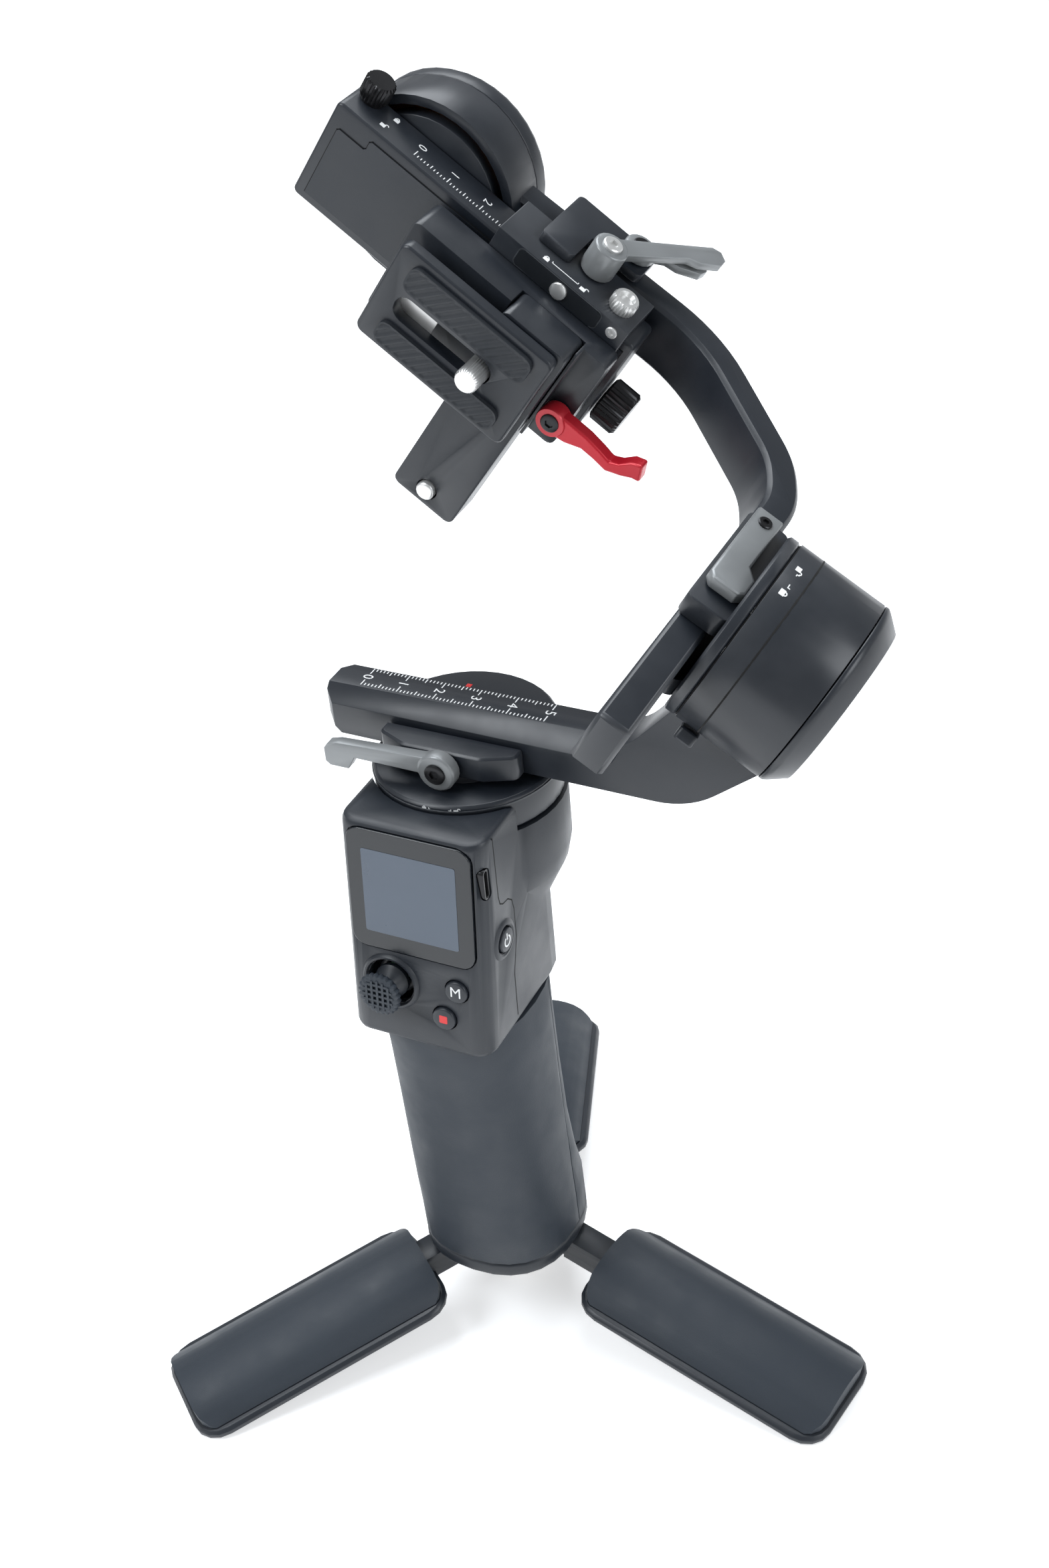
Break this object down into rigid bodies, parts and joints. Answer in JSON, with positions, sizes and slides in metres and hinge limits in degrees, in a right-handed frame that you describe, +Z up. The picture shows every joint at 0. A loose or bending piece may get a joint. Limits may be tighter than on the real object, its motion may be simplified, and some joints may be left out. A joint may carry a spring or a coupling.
{
  "type": "handheld camera gimbal",
  "caption": "Handheld three-axis camera stabiliser on a folding tripod, with a pan arm, a roll arm, a tilt rail and a quick release camera plate.",
  "frame": {"origin": "under the middle of the outline, on the floor that the feet stand on", "axes": "+Z up, along the handle and the pan axis; -Y is the side with the screen; +X is the way the pan arm points"},
  "size_m": [0.1826, 0.1924, 0.3263],
  "materials": {
    "black_anodised": "black anodised, satin",
    "black_plastic": "fine matt moulding",
    "cell_wrap": "shrink wrap",
    "circuit_board": "solder mask",
    "copper_winding": "enamelled winding",
    "display": "dark panel",
    "grey_lever": "grey anodised, satin",
    "red_anodised": "red anodised",
    "screen_glass": "clear over a black border",
    "soft_rubber": "matt, soft touch",
    "steel": "bright"
  },
  "bodies": {
    "handle": {"base_ring": "black_plastic", "battery_pack": "cell_wrap", "display_panel": "display", "grip_front_shell": "soft_rubber", "grip_rear_shell": "soft_rubber", "head_housing": "black_plastic", "leg_hinge_pin_1": "steel", "leg_hinge_pin_2": "steel", "leg_hinge_pin_3": "steel", "main_board": "circuit_board", "pan_motor_coil": "copper_winding", "screen_glass": "screen_glass", "tripod_hub": "black_plastic", "tripod_screw": "steel", "usb_c_socket": "steel"},
    "bracket_lever_lower": {"bracket_lever_lower": "grey_lever"},
    "bracket_lever_upper": {"bracket_lever_upper": "grey_lever"},
    "bracket": {"bracket_rear_jaw": "black_anodised", "clamp_base": "black_anodised", "slide_bracket": "black_anodised"},
    "release_button": {"bracket_release_button": "steel"},
    "camera_screw": {"camera_screw": "steel"},
    "front_dial": {"front_dial": "black_anodised"},
    "plate": {"grip_pad_lower": "soft_rubber", "grip_pad_upper": "soft_rubber", "quick_release_plate": "black_anodised", "slide_plate": "black_anodised"},
    "joystick": {"joystick_cap": "soft_rubber"},
    "joystick_ring": {"joystick_gimbal_ring": "black_anodised"},
    "leg_1": {"leg_frame_1": "black_plastic", "leg_pad_1": "soft_rubber"},
    "leg_2": {"leg_frame_2": "black_plastic", "leg_pad_2": "soft_rubber"},
    "leg_3": {"leg_frame_3": "black_plastic", "leg_pad_3": "soft_rubber"},
    "mode_button": {"mode_button": "black_plastic"},
    "pan_arm": {"pan_arm": "black_anodised", "roll_motor_cap": "black_anodised", "roll_motor_coil": "copper_winding"},
    "pan_rotor": {"pan_clamp_jaw": "black_anodised", "pan_rotor": "black_anodised"},
    "pan_lever": {"pan_clamp_lever": "grey_lever"},
    "pan_lock": {"pan_lock_slider": "black_plastic"},
    "plate_lever": {"plate_lock_lever": "red_anodised"},
    "power_button": {"power_button": "black_plastic"},
    "rail_knob": {"rail_end_knob": "black_anodised"},
    "record_button": {"record_button": "black_plastic"},
    "roll_arm": {"roll_arm": "black_anodised", "tilt_motor_cap": "black_anodised", "tilt_motor_coil": "copper_winding"},
    "roll_lever": {"roll_clamp_lever": "grey_lever"},
    "roll_lock": {"roll_lock_slider": "black_plastic"},
    "roll_rotor": {"roll_rotor": "black_anodised"},
    "plate_pin": {"slide_plate_pin": "steel"},
    "tilt_lock": {"tilt_lock_slider": "black_anodised"},
    "tilt_rotor": {"tilt_rail": "black_anodised", "tilt_rotor": "black_anodised"},
    "trigger": {"trigger": "black_plastic"}
  },
  "joints": [
    {"name": "leg_1_fold", "type": "hinge", "parent": "handle", "child": "leg_1", "pos_m": [-0.00017, -0.00829, 0.0209], "axis": [0.1478, 0.989, 0], "range_deg": [0, 78]},
    {"name": "leg_2_fold", "type": "hinge", "parent": "handle", "child": "leg_2", "pos_m": [-0.02118, 0.00842, 0.0209], "axis": [-0.9304, -0.3665, 0], "range_deg": [0, 78]},
    {"name": "leg_3_fold", "type": "hinge", "parent": "handle", "child": "leg_3", "pos_m": [-0.02515, -0.01813, 0.0209], "axis": [0.7826, -0.6225, 0], "range_deg": [0, 78]},
    {"name": "joystick_tilt_up_down", "type": "hinge", "parent": "handle", "child": "joystick_ring", "pos_m": [-0.0225, -0.03895, 0.135], "axis": [1, 0, 0], "range_deg": [-15, 15], "stiffness_Nm_per_rad": 0.02},
    {"name": "joystick_tilt_left_right", "type": "hinge", "parent": "joystick_ring", "child": "joystick", "pos_m": [-0.0225, -0.03895, 0.135], "axis": [0, 0.1045, 0.9945], "range_deg": [-15, 15], "stiffness_Nm_per_rad": 0.02},
    {"name": "record_button_press", "type": "slide", "parent": "handle", "child": "record_button", "axis": [0, 0.9945, -0.1045], "range_m": [0, 0.0008], "stiffness_N_per_m": 300, "springref_m": -0.0004},
    {"name": "mode_button_press", "type": "slide", "parent": "handle", "child": "mode_button", "axis": [0, 0.9945, -0.1045], "range_m": [0, 0.0008], "stiffness_N_per_m": 300, "springref_m": -0.0004},
    {"name": "power_button_press", "type": "slide", "parent": "handle", "child": "power_button", "axis": [-1, 0, 0], "range_m": [0, 0.0008], "stiffness_N_per_m": 300, "springref_m": -0.0004},
    {"name": "trigger_pull", "type": "hinge", "parent": "handle", "child": "trigger", "pos_m": [-0.0155, 0.001, 0.1346], "axis": [1, 0, 0], "range_deg": [0, 8], "stiffness_Nm_per_rad": 0.05, "springref_deg": -2.86},
    {"name": "front_dial_turn", "type": "hinge", "parent": "handle", "child": "front_dial", "pos_m": [-0.0155, 0.0026, 0.145], "axis": [1, 0, 0], "continuous": true},
    {"name": "pan_lock_slide", "type": "slide", "parent": "handle", "child": "pan_lock", "axis": [0.342, -0.9397, 0], "range_m": [0, 0.005]},
    {"name": "pan_turn", "type": "hinge", "parent": "handle", "child": "pan_rotor", "pos_m": [-0.0155, -0.006, 0], "axis": [0, 0, 1], "continuous": true},
    {"name": "pan_clamp_lever_open", "type": "hinge", "parent": "pan_rotor", "child": "pan_lever", "pos_m": [-0.0145, -0.0224, 0.187], "axis": [0, 1, 0], "range_deg": [0, 70]},
    {"name": "pan_arm_slide", "type": "slide", "parent": "pan_rotor", "child": "pan_arm", "axis": [1, 0, 0], "range_m": [-0.012, 0.01]},
    {"name": "roll_lock_slide", "type": "slide", "parent": "pan_arm", "child": "roll_lock", "axis": [-0.2986, 0.8261, -0.4779], "range_m": [-0.005, 0]},
    {"name": "roll_turn", "type": "hinge", "parent": "pan_arm", "child": "roll_rotor", "pos_m": [0.05375, -0.006, 0.232], "axis": [0.848, 0, -0.5299], "range_deg": [-35, 60]},
    {"name": "roll_clamp_lever_open", "type": "hinge", "parent": "roll_rotor", "child": "roll_lever", "pos_m": [0.05843, 0.00644, 0.24893], "axis": [0.5288, -0.0645, 0.8463], "range_deg": [-60, 0]},
    {"name": "roll_arm_slide", "type": "slide", "parent": "roll_rotor", "child": "roll_arm", "axis": [0.0342, 0.9979, 0.0547], "range_m": [-0.008, 0.016]},
    {"name": "tilt_turn", "type": "hinge", "parent": "roll_arm", "child": "tilt_rotor", "pos_m": [-0.05028, 0.05533, 0.29518], "axis": [0.0342, 0.9979, 0.0547], "range_deg": [-180, 1]},
    {"name": "tilt_lock_slide", "type": "slide", "parent": "tilt_rotor", "child": "tilt_lock", "axis": [0.8029, 0.0052, -0.5961], "range_m": [-0.004, 0]},
    {"name": "rail_knob_turn", "type": "hinge", "parent": "tilt_rotor", "child": "rail_knob", "pos_m": [-0.00201, 0.05448, 0.25114], "axis": [0.8029, 0.0052, -0.5961], "continuous": true},
    {"name": "bracket_slide", "type": "slide", "parent": "tilt_rotor", "child": "bracket", "axis": [0.8029, 0.0052, -0.5961], "range_m": [-0.012, 0.003]},
    {"name": "bracket_release_press", "type": "slide", "parent": "bracket", "child": "release_button", "axis": [0.0342, 0.9979, 0.0547], "range_m": [0, 0.0006], "stiffness_N_per_m": 300, "springref_m": -0.0004},
    {"name": "bracket_lever_upper_open", "type": "hinge", "parent": "bracket", "child": "bracket_lever_upper", "pos_m": [0.00267, 0.05393, 0.28931], "axis": [0.5951, -0.0643, 0.8011], "range_deg": [-80, 0]},
    {"name": "bracket_lever_lower_open", "type": "hinge", "parent": "bracket", "child": "bracket_lever_lower", "pos_m": [0.00486, 0.06584, 0.28465], "axis": [0.5951, -0.0643, 0.8011], "range_deg": [-60, 0]},
    {"name": "plate_lock_lever_open", "type": "hinge", "parent": "bracket", "child": "plate_lever", "pos_m": [-0.00606, 0.03547, 0.25324], "axis": [0.0342, 0.9979, 0.0547], "range_deg": [0, 75]},
    {"name": "plate_slide", "type": "slide", "parent": "bracket", "child": "plate", "axis": [0.5951, -0.0643, 0.8011], "range_m": [-0.004, 0.024]},
    {"name": "camera_screw_turn", "type": "hinge", "parent": "plate", "child": "camera_screw", "pos_m": [-0.01935, 0.05566, 0.26974], "axis": [0.0342, 0.9979, 0.0547], "continuous": true},
    {"name": "slide_plate_pin_press", "type": "slide", "parent": "plate", "child": "plate_pin", "axis": [0.0342, 0.9979, 0.0547], "range_m": [0, 0.0012], "stiffness_N_per_m": 300, "springref_m": -0.0004}
  ]
}
